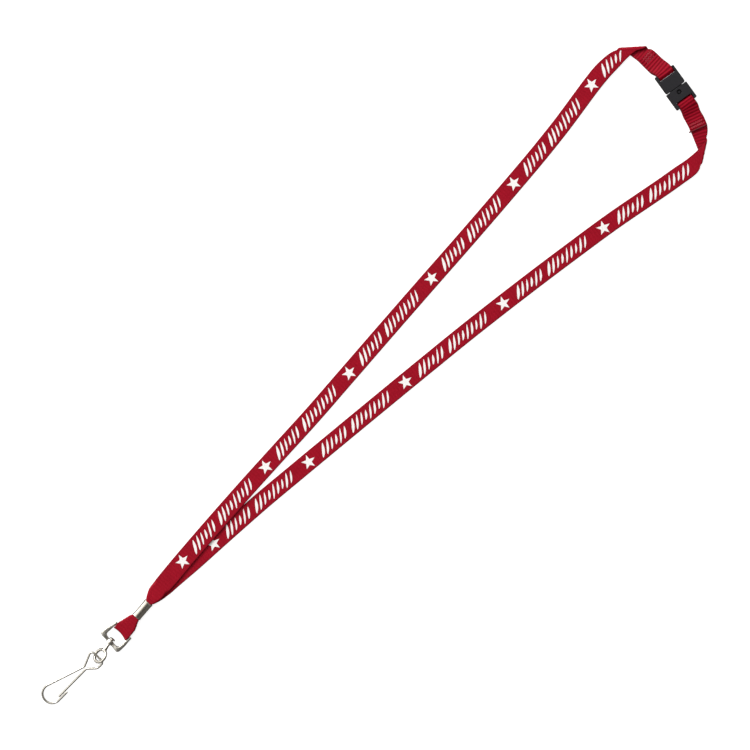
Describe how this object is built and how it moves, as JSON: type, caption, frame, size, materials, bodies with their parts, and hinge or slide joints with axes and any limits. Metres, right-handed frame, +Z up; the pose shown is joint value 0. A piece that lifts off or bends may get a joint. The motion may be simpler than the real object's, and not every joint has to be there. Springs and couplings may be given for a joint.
{
  "type": "neck lanyard",
  "caption": "Flat red woven neck lanyard with white print, a metal crimp, a swivel bracket with a sprung J-hook, and a black pull-apart buckle behind the neck.",
  "frame": {"origin": "middle of the footprint, on the surface that the lanyard lies on", "axes": "+X from the hook to the neck, +Z up from the surface, printed face up"},
  "size_m": [0.4911, 0.0811, 0.0066],
  "materials": {
    "webbing": "ribbed woven polyester",
    "thread": "polyester sewing thread",
    "print": "white screen ink on webbing",
    "crimp_metal": "bright nickel plate",
    "cast_metal": "satin nickel plate on a casting",
    "spring_wire": "nickel-plated spring wire",
    "buckle_plastic": "satin moulded plastic"
  },
  "bodies": {
    "strap": {"strap_leg_left": "webbing", "strap_leg_right": "webbing", "strap_hook_loop": "webbing", "strap_neck_left": "webbing", "strap_tail_left": "webbing", "stitching_left": "thread", "print_script_left": "print", "print_script_right": "print", "print_emblems_left": "print", "print_emblems_right": "print", "crimp_sleeve": "crimp_metal", "buckle_plug": "buckle_plastic"},
    "bracket": {"swivel_bracket": "cast_metal"},
    "eyelet": {"swivel_eyelet": "cast_metal"},
    "hook": {"hook_wire": "spring_wire"},
    "gate": {"hook_gate": "spring_wire"},
    "socket_side": {"buckle_socket": "buckle_plastic", "strap_corner_right": "webbing", "strap_neck_right": "webbing", "strap_tail_right": "webbing", "stitching_right": "thread", "print_script_corner": "print"}
  },
  "joints": [
    {"name": "bracket_swing", "type": "hinge", "parent": "strap", "child": "bracket", "pos_m": [-0.1879, 0.00885, 0.0019], "axis": [0.0698, 0.9976, 0], "range_deg": [-75, 75]},
    {"name": "eyelet_spin", "type": "hinge", "parent": "bracket", "child": "eyelet", "pos_m": [-0.1969, 0.0094, 0.00259], "axis": [0.9876, 0.1353, -0.0802], "continuous": true},
    {"name": "hook_swing", "type": "hinge", "parent": "eyelet", "child": "hook", "pos_m": [-0.2072, 0.0089, 0.0033], "axis": [0, 1, 0], "range_deg": [-50, 50]},
    {"name": "gate_flex", "type": "hinge", "parent": "hook", "child": "gate", "pos_m": [-0.21658, 0.00865, 0.00264], "axis": [-0.0706, 0, 0.9975], "range_deg": [-11, 0], "stiffness_Nm_per_rad": 0.05},
    {"name": "buckle_release", "type": "slide", "parent": "strap", "child": "socket_side", "axis": [-0.1702, -0.9854, 0], "range_m": [0, 0.012]}
  ]
}
